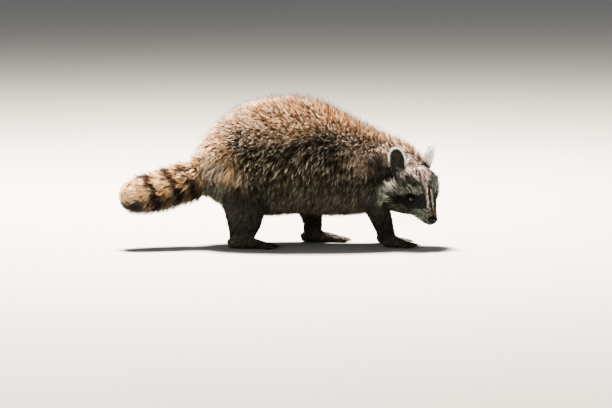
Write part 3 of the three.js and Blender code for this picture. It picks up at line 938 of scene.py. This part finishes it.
guard_hair = hair_material("guard_hair_keratin", 0.22, "#120d0a", 0.5)
face_hair = hair_material("short_face_hair_keratin", 0.45, "#16110e", 0.6)

# %% [markdown]
# A blade is a narrow strip of seven points: a pair at the root, two pairs along it and one point
# at the tip. Arrays hold all the blades of a piece at once, so each line below moves thousands
# of them. A few blades on the body fly free: thinner, darker and higher than the rest.

# %% Build the blades
CLUMP = (1.0, 0.78, 0.52, 0.30)  # how far the blades of a lock stand apart, from root to tip
RISE = (-0.06, 0.45, 0.80, 1.0)  # how high they stand in the coat
TAPER = (1.0, 0.92, 0.62)
PATCH = 0.003  # a lock's patch in the map
FLYAWAY, FLY_TINT, FLY_WIDTH = 0.07, 0.22, 0.6  # share of the blades, colour and width
LOCK_LONG, BLADE_LONG = (0.80, 1.08), (0.86, 1.06)  # length of each lock and of each blade
LOCK_HIGH, BLADE_HIGH = (0.70, 1.06), (0.88, 1.08)  # the same for the height in the coat
LEG_HIGH = (-0.1, 0.35)  # what the height on the legs varies by besides
LOCK_BEND, BLADE_BEND = 0.2, 0.07  # sideways, in shares of the length
BLADE_ROLL = 0.9  # radians
BLADE_WIDE = (0.75, 1.2)
HAIR_LOWEST = 0.4 * MM


def coat_piece(name, mine, material, columns=1):
    lock = np.flatnonzero(mine)
    per_lock = np.maximum(np.round(root_local[lock, BLADES]).astype(int), 2)
    blade = np.repeat(lock, per_lock)
    n = len(blade)
    mid_skin, mid_cover = root_skin[blade], root_cover[blade]
    part_of = {part: root_share[blade, i] for i, part in enumerate(PARTS)}
    topside = smoothstep(0.1, 0.8, root_out[blade, 2])
    fly = rng.random(n) < FLYAWAY * (1 + topside) * (part_of["trunk"] + part_of["neck"] + part_of["tail"])
    grown = np.repeat(rng.uniform(*LOCK_LONG, len(lock)), per_lock) * rng.uniform(*BLADE_LONG, n)
    grown = np.where(fly, grown * 0.9, grown)
    high = np.repeat(rng.uniform(*LOCK_HIGH, len(lock)), per_lock) * rng.uniform(*BLADE_HIGH, n)
    high = high * (1 + 0.3 * root_forehead[blade])
    underside = smoothstep(0.3, -0.7, root_out[blade, 2])
    high = high * (1 + part_of["tail"] * (0.12 + 0.34 * underside))
    high = high * (1 + (part_of["foreleg"] + part_of["hindleg"]) * rng.uniform(*LEG_HIGH, n))
    high = np.where(fly, rng.uniform(1.05, 1.35 + 0.3 * topside, n), high)
    way = unit(mid_skin[:, 3] - mid_skin[:, 0])
    side_way = unit(np.cross(way, root_out[blade]))
    angle, reach = rng.uniform(0, 2 * math.pi, n), np.sqrt(rng.random(n)) * root_local[blade, RADIUS] * MM
    shift = way * (np.cos(angle) * reach)[:, None] + side_way * (np.sin(angle) * reach)[:, None]
    bend = np.repeat(rng.normal(0, LOCK_BEND, len(lock)), per_lock) + rng.normal(0, BLADE_BEND, n)
    bend *= root_length[blade] * MM
    roll = rng.uniform(-BLADE_ROLL, BLADE_ROLL, n)
    half = root_local[blade, WIDTH] / 2 * MM * rng.uniform(*BLADE_WIDE, n) * np.where(fly, FLY_WIDTH, 1)
    rows = [mid_skin[:, 0] + (mid_skin[:, k] - mid_skin[:, 0]) * grown[:, None]
            + mid_cover[:, k] * (RISE[k] * high)[:, None]
            + shift * CLUMP[k] + side_way * (bend * ROWS[k] ** 2)[:, None] for k in range(4)]
    verts = []
    for k in range(3):
        run = unit(rows[k + 1] - rows[k])
        flat = unit(np.cross(run, unit(mid_cover[:, k] + root_out[blade] * 1e-5)))
        wide = flat * np.cos(roll)[:, None] + np.cross(run, flat) * np.sin(roll)[:, None]
        wide *= (half * TAPER[k])[:, None]
        verts += [rows[k] - wide, rows[k] + wide]
    verts = np.stack(verts + [rows[3]], 1)
    verts[:, :, 2] = np.maximum(verts[:, :, 2], HAIR_LOWEST)
    base = (np.arange(n) * 7)[:, None]
    faces = [np.concatenate([base + (0, 1, 3, 2), base + (2, 3, 5, 4)]), base + (4, 5, 6)]
    piece = mesh_object(name, verts.reshape(-1, 3), faces)
    tint = lock_colour[blade] * np.exp(0.22 * rng.normal(size=(n, 1)))
    tint = np.where(fly[:, None], tint * FLY_TINT, tint)
    paint(piece, np.repeat(tint, 7, 0))
    strand = np.zeros((n, 7, 3))
    strand[:, :, 0] = np.repeat(ROWS, (2, 2, 2, 1))
    strand[:, :, 1] = dark_tip[blade][:, None]
    paint(piece, strand.reshape(-1, 3), "strand")
    bake_map(piece, lock, blade, faces, columns)
    piece.data.materials.append(material)
    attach(piece, "root")
    print(name, "has", len(lock), "locks,", n, "blades,", n * 5, "triangles")


def bake_map(piece, lock, blade, faces, columns):
    place = np.zeros((lock_count, 2))
    cells = field[lock] if columns > 1 else np.zeros(len(lock), int)
    edge = 2 * PATCH * columns
    for cell in np.unique(cells):
        here = lock[cells == cell]
        for k, values in enumerate((flat_u[here], flat_v[here])):
            low, high = values.min(), values.max()
            inside = (values - low) / (high - low) * (1 - 2 * edge) + edge
            place[here, k] = (inside + (cell % columns, cell // columns)[k]) / columns
    offset = np.array([(0, 0), (1, 0), (0, ROWS[1]), (1, ROWS[1]), (0.15, ROWS[2]), (0.85, ROWS[2]),
                       (0.5, 1)]) - 0.5
    spots = (place[blade][:, None] + offset * PATCH).reshape(-1, 2)
    corners = np.concatenate([f.ravel() for f in faces])
    layer = piece.data.uv_layers.new(name="OFBake")
    layer.data.foreach_set("uv", spots[corners].astype(np.float32).ravel())


# %% [markdown]
# The coat is cut into pieces by the place of the roots, since a piece may not have too many
# triangles. No border shows, because neighbouring pieces share one flow and one colouring.

# %% Grow the coat piece by piece
TOP_FROM, FORE_FROM = 205, 20  # mm, where the back and the fore part begin
trunk = among(root_part, "trunk")
on_top, in_front = root_place[:, 2] / MM > TOP_FROM, root_place[:, 0] / MM > FORE_FROM
for end, there in (("fore", in_front), ("rear", ~in_front)):
    coat_piece("coat_back_" + end, trunk & on_top & there, guard_hair)
    for side_name, side in SIDES.items():
        flank = trunk & ~on_top & (root_place[:, 1] * side > 0) & there
        coat_piece("coat_flank_" + side_name + "_" + end, flank, guard_hair)
coat_piece("coat_neck", among(root_part, "neck"), guard_hair)
coat_piece("coat_tail", in_tail, guard_hair)
coat_piece("coat_face_right", in_face & (root_head[:, 1] <= 0), face_hair)
coat_piece("coat_face_left", in_face & (root_head[:, 1] > 0), face_hair)
coat_piece("coat_ears", among(root_part, "ear"), face_hair, 2)
coat_piece("coat_legs", limb, guard_hair, 2)
coat_piece("coat_feet", paw, face_hair, 2)

# %% [markdown]
# ## Eyes
# A raccoon's eye is a dark ball in a dark face: nearly black iris, wide pupil, clear cornea that
# stands a little forward. The ball is a grid of rings round the line of sight, so the iris and
# the pupil are simply rings. The wet surface gives the sharpest highlight of the whole animal.

# %% Eyeballs
GAZE = unit(np.array([0.66, 0.74, 0.12]))
BALL_RINGS, BALL_STEPS = 28, 48
NEARLY_POLE = 0.004  # radians that the first and last ring stay from the poles
CORNEA, CORNEA_WIDE = 0.8, 0.5  # mm that the cornea stands forward, radians that it reaches


def eye_frame(side):
    gaze = GAZE * (1, side, 1)
    to_nose = unit(np.cross(np.cross(gaze, NOSE - EYE * (1, side, 1)), gaze))
    up = np.cross(gaze, to_nose)
    return gaze, to_nose, up * np.sign(up[2])


def rings(side, angles, radii, steps):
    """Points on rings round the line of sight; angles and radii have one row for each ring."""
    gaze, to_nose, up = eye_frame(side)
    turn = full_turn(steps)
    flat = np.cos(turn)[:, None] * to_nose + np.sin(turn)[:, None] * up
    points = (np.cos(angles)[..., None] * gaze + np.sin(angles)[..., None] * flat) * radii[..., None]
    return from_head((points + EYE * (1, side, 1)).reshape(-1, 3))


def ring_faces(ring_count, steps, first=0):
    k, j = np.meshgrid(np.arange(ring_count - 1), np.arange(steps), indexing="ij")
    a, b = k * steps + j, k * steps + (j + 1) % steps
    return np.stack([a, b, b + steps, a + steps], -1).reshape(-1, 4) + first


def pair_of_rings(name, angles, radii):
    """One mesh with the same rings round each eye's line of sight."""
    count_of_rings, steps = angles.shape
    points = [rings(side, angles, radii, steps) for side in SIDES.values()]
    faces = [ring_faces(count_of_rings, steps, i * count_of_rings * steps) for i in range(2)]
    return mesh_object(name, np.concatenate(points), [np.concatenate(faces)])


pole_to_pole = np.linspace(NEARLY_POLE, math.pi - NEARLY_POLE, BALL_RINGS)
ball_angle = np.tile(pole_to_pole[:, None], (1, BALL_STEPS))
eyes = pair_of_rings("eyes", ball_angle, EYE_RADIUS + CORNEA * np.exp(-(ball_angle / CORNEA_WIDE) ** 4))
paint(eyes, np.repeat(np.tile(ball_angle.ravel(), 2)[:, None], 3, 1), "sight")
print("eyes:", len(eyes.data.polygons), "faces")

eye_wet, tree = new_material("wet_cornea_over_brown_iris")
sight = add_node(tree, "Attribute", {"attribute_name": "sight"})
fibre = texture(tree, "TexNoise", {"Scale": 900.0, "Detail": 3.0})
wobble = add_node(tree, "Math", {"operation": "MULTIPLY_ADD", 0: fibre, 1: 0.08,
                                 2: sight.outputs["Fac"]})
bands = add_node(tree, "ValToRGB", {"Fac": wobble.outputs[0]})
ramp = bands.color_ramp.elements  # from the pupil, over the iris, to the back of the ball, in radians
ramp[0].position, ramp[0].color = 0.36, (0.002, 0.002, 0.002, 1)
ramp[1].position, ramp[1].color = 0.42, flat_colour("#1a0e08")
for spot, shade in ((0.62, "#24140b"), (0.70, "#060404"), (0.95, "#100a07")):
    ramp.new(spot).color = flat_colour(shade)
finish_material(tree, {"Base Color": bands.outputs["Color"], "Roughness": 0.05, "IOR": 1.376,
                       "Coat Weight": 0.5, "Coat Roughness": 0.02})
eyes.data.materials.append(eye_wet)
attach(eyes, "root")
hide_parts("eye_left", "eye_right")

# %% [markdown]
# The lids are bare dark leather: a rounded rim that lies on the ball, almond-shaped, drawn out to
# a corner towards the nose, and a fold that runs back under the fur.

# %% Eyelids
LID_STEPS = 56
LID = ((8.02, 0.0), (8.25, -0.03), (8.5, 0.0), (8.62, 0.08), (8.58, 0.20), (8.35, 0.32), (8.3, 0.46),
       (7.9, 0.66), (7.0, 0.95))  # distance from the ball's middle in mm, angle beyond the opening
HALF_WIDE, HALF_UP, HALF_DOWN, CORNER = 0.70, 0.50, 0.38, 0.22  # radians of the opening
turn = full_turn(LID_STEPS)
half_high = np.where(np.sin(turn) > 0, HALF_UP, HALF_DOWN)
opening = 1 / np.sqrt((np.cos(turn) / HALF_WIDE) ** 2 + (np.sin(turn) / half_high) ** 2)
opening += CORNER * np.clip(np.cos(turn), 0, 1) ** 10
opening += 0.6 * CORNER * np.clip(-np.cos(turn), 0, 1) ** 14
lids = pair_of_rings("eyelids", np.array([opening + more for _, more in LID]),
                     np.array([np.full(LID_STEPS, far) for far, _ in LID]))
print("eyelids:", len(lids.data.polygons), "faces")

leather, tree = new_material("bare_dark_lid_leather")
crease = texture(tree, "TexVoronoi", {"Scale": 1400.0, "feature": "DISTANCE_TO_EDGE"})
worn = texture(tree, "TexNoise", {"Scale": 350.0})
finish_material(tree, {
    "Base Color": between(tree, worn, flat_colour("#080706"), flat_colour("#16110f")),
    "Roughness": 0.42, "IOR": 1.45,
    "Normal": bump(tree, crease, {"Strength": 0.35, "Distance": 0.0003})})
lids.data.materials.append(leather)
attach(lids, "root")

# %% [markdown]
# ## Nose
# The nose pad is bare, black, wet and pebbled, with a comma-shaped nostril on either side that
# opens to the flank of the pad, and a furrow down its middle. It is an ellipsoid whose points are
# pushed in where the nostrils and the furrow are.

# %% Nose pad
NOSE_SIZE = np.array([8.0, 10.2, 7.4])  # mm, half the pad along each direction
NOSE_RINGS, NOSE_STEPS = 60, 96
tip_angle, turn = np.meshgrid(np.linspace(NEARLY_POLE, math.pi - NEARLY_POLE, NOSE_RINGS),
                              full_turn(NOSE_STEPS), indexing="ij")
ball = np.stack([np.cos(tip_angle), np.sin(tip_angle) * np.cos(turn),
                 np.sin(tip_angle) * np.sin(turn)], -1).reshape(-1, 3)
left_half = ball * (1, 0, 1) + np.abs(ball) * (0, 1, 0)


def dent(centre, width):
    return bell(np.linalg.norm(left_half - unit(np.array(centre)), axis=1), width)


nose_points = ball * NOSE_SIZE + NOSE
# the nostril is three dents in a row, each shallower, and the furrow runs down the front
press = 3.4 * dent((0.80, 0.50, -0.12), 0.20) + 1.9 * dent((0.52, 0.82, -0.22), 0.16)
press += 1.3 * dent((0.35, 0.90, -0.34), 0.13)
press += 0.9 * bell(ball[:, 1], 0.07) * smoothstep(0.35, -0.2, ball[:, 2]) * (ball[:, 0] > 0)
nose_points -= ball * press[:, None]
nose_points[:, 2] += 0.8 * dent((0.6, 0.5, 0.6), 0.5)
nose = mesh_object("nose_pad", from_head(nose_points), [ring_faces(NOSE_RINGS, NOSE_STEPS)])
print("nose pad:", len(nose.data.polygons), "faces, deepest dent", press.max().round(1), "mm")

pad, tree = new_material("wet_pebbled_nose_leather")
pebble = texture(tree, "TexVoronoi", {"Scale": 1300.0})
damp = texture(tree, "TexNoise", {"Scale": 240.0, "Detail": 3.0})
rough = add_node(tree, "MapRange", {"Value": damp, "To Min": 0.22, "To Max": 0.5})
finish_material(tree, {
    "Base Color": between(tree, pebble, flat_colour("#0c0b0b"), flat_colour("#221e1d")),
    "IOR": 1.4, "Roughness": rough.outputs[0],
    "Normal": bump(tree, pebble, {"Strength": 0.4, "Distance": 0.0004, "invert": True})})
nose.data.materials.append(pad)
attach(nose, "root")
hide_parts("nose")

# %% [markdown]
# ## Claws
# A raccoon has five claws on each foot, which it can't draw in. They are horn: grown in a curve,
# flat on the sides, dark at the root and worn paler at the point. Each is a bent, tapered tube
# between the root and the point of its solid part.

# %% Twenty claws
CLAW_RINGS, CLAW_STEPS = 9, 10
CLAW_ROOT = 2.5 * MM  # how far the claw starts inside the toe
CLAW_BASE = 0.35  # share of the solid part's points that count as its root
CLAW_BEND, CLAW_FLAT = 0.10, 0.72  # rise of the middle by the length, width by the height
CLAW_TAPER, CLAW_TIP = 1.7, 0.96


def tube(middle_line, way, radius, steps, flatness=1.0):
    """Rings of points round a line that runs roughly along `way`, one radius for each ring."""
    side_way = unit(np.cross(way, [0, 0, 1.0]))
    up_way = np.cross(side_way, way)
    turn = full_turn(steps)[:, None]
    ring = side_way * np.cos(turn) * flatness + up_way * np.sin(turn)
    return (middle_line[:, None] + ring * radius[:, None]).reshape(-1, 3)


def tubes_object(name, tubes, ring_count, steps):
    faces = [ring_faces(ring_count, steps, i * ring_count * steps) for i in range(len(tubes))]
    points = np.concatenate(tubes)
    points[:, 2] = np.maximum(points[:, 2], LOWEST)
    print(name, "has", len(tubes), "tubes")
    return mesh_object(name, points, [np.concatenate(faces)])


claw_nodes = [f"{foot}_claw_{i}" for foot in FEET for i in range(1, 6)]
claw_tubes = []
s = np.linspace(0, 1, CLAW_RINGS)[:, None]
for node in claw_nodes:
    points = points_of(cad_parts[node].data)
    angle = FEET[node.split("_claw_")[0]][1]
    ahead_of = points @ (math.cos(angle), math.sin(angle), 0)
    tip = points[np.argmax(ahead_of)]
    root = points[ahead_of < np.quantile(ahead_of, CLAW_BASE)]
    base = (root.min(0) + root.max(0)) / 2
    thick = (root.max(0) - root.min(0))[2] / 2
    run = unit(tip - base)
    base = base - run * CLAW_ROOT
    up_way = np.cross(unit(np.cross(run, [0, 0, 1.0])), run)
    rise = CLAW_BEND * np.linalg.norm(tip - base) * 4 * s * (1 - s)
    claw_tubes.append(tube(base + (tip - base) * s + up_way * rise, run,
                           thick * (1 - s ** CLAW_TAPER * CLAW_TIP), CLAW_STEPS, CLAW_FLAT))
claws = tubes_object("claws", claw_tubes, CLAW_RINGS, CLAW_STEPS)
paint(claws, np.tile(np.repeat(s, CLAW_STEPS, 0), (len(claw_nodes), 3)), "worn")

horn, tree = new_material("claw_horn")
worn = add_node(tree, "Attribute", {"attribute_name": "worn"})
layers = texture(tree, "TexNoise", {"Scale": 500.0, "Detail": 3.0})
finish_material(tree, {
    "Base Color": between(tree, worn.outputs["Fac"], flat_colour("#241a14"), flat_colour("#7a6650")),
    "Roughness": 0.36, "IOR": 1.54,
    "Normal": bump(tree, layers, {"Strength": 0.3, "Distance": 0.0002})})
claws.data.materials.append(horn)
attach(claws, "root")
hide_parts(*claw_nodes)

# %% [markdown]
# ## Whiskers
# Long stiff white hairs in rows on the muzzle, and a few over the eyes. Each is a thin tapered
# tube that starts on the skin, leans back and droops under its own weight.

# %% Whiskers
WHISKER_STEPS, WHISKER_SIDES = 8, 4
WHISKER_RADIUS, WHISKER_TAPER = 0.24 * MM, 0.85
ROOT_STRAY, AIM_STRAY = 0.5, 0.08  # mm, and by the length
DROOP = np.array([-0.12, 0, -0.18])  # back and down at the tip, by the length
# root in the head's frame, length in mm, way: four columns of three on the muzzle, three over the eye
tufts = [((60 - 4.5 * i, 10 + 0.9 * i, -15 - 2.2 * j), 30 + 7 * i + 3 * j,
          (-0.35 - 0.12 * i, 1.0, -0.25 - 0.12 * j)) for i in range(4) for j in range(3)]
tufts += [((21 - 2 * i, 20 + 3 * i, 17), 26 + 4 * i, (-0.7, 0.55, 0.75)) for i in range(3)]
whisker_tubes = []
s = np.linspace(0, 1, WHISKER_STEPS)[:, None]
for side in SIDES.values():
    for guess, size, aim in tufts:
        guess = np.array(guess) + rng.normal(0, ROOT_STRAY, 3)
        start = skin[nearest(skin_tree, from_head(guess * (1, side, 1))[None])[0]]
        aim = HEAD_TURN @ (unit(np.array(aim) + rng.normal(0, AIM_STRAY, 3)) * (1, side, 1))
        line = start + (aim * s + DROOP * s ** 2) * size * MM
        whisker_tubes.append(tube(line, aim, WHISKER_RADIUS * (1 - WHISKER_TAPER * s), WHISKER_SIDES))
whiskers = tubes_object("whiskers", whisker_tubes, WHISKER_STEPS, WHISKER_SIDES)

stiff, tree = new_material("stiff_white_whisker_keratin")
aged = texture(tree, "TexNoise", {"Scale": 120.0})
finish_material(tree, {
    "Base Color": between(tree, aged, flat_colour("#b8b4a8"), flat_colour("#f2efe6")),
    "Roughness": 0.35, "IOR": 1.55})
whiskers.data.materials.append(stiff)
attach(whiskers, "root")

# %% [markdown]
# ## Floor and light
# A plain pale floor and studio light: a warm key lamp high above and a little behind the animal,
# which brightens the back and rims the ears, and a small weak fill low on the side of the camera.
# A pale sky softens the shadows.

# %% Floor, lamps and sky
FLOOR_HALF = 14.0
corners = FLOOR_HALF * np.array([(-1, -1, 0), (1, -1, 0), (1, 1, 0), (-1, 1, 0)])
floor = mesh_object("floor", corners, [np.array([[0, 1, 2, 3]])])
paper, tree = new_material("matt_backdrop_paper")
fibre = texture(tree, "TexNoise", {"Scale": 60.0, "Detail": 3.0})
finish_material(tree, {
    "Base Color": between(tree, fibre, flat_colour("#a5a39f"), flat_colour("#adaba6")),
    "Roughness": 0.9})
floor.data.materials.append(paper)
print("floor", 2 * FLOOR_HALF, "m square")


def area_light(name, spot, power, size, colour):
    lamp = bpy.data.lights.new(name, "AREA")
    lamp.energy, lamp.size, lamp.color = power, size, linear(colour)
    holder = bpy.data.objects.new(name, lamp)
    holder.location = spot
    holder.rotation_mode = "QUATERNION"
    holder.rotation_quaternion = (LIT_SPOT - Vector(spot)).to_track_quat("-Z", "Y")
    bpy.context.scene.collection.objects.link(holder)


LIT_SPOT = Vector((0, 0, 0.15))
area_light("key", (-0.4, 1.25, 3.25), 930, 0.8, "#fff4e8")
area_light("fill", (-1.6, -3.0, 0.42), 26, 0.4, "#e9f4e4")
world = bpy.data.worlds.new("studio")
world.use_nodes = True
sky = world.node_tree.nodes["Background"].inputs
sky["Color"].default_value, sky["Strength"].default_value = flat_colour("#e8ebee"), 0.42
bpy.context.scene.world = world
bpy.context.scene.view_settings.look = "AgX - High Contrast"
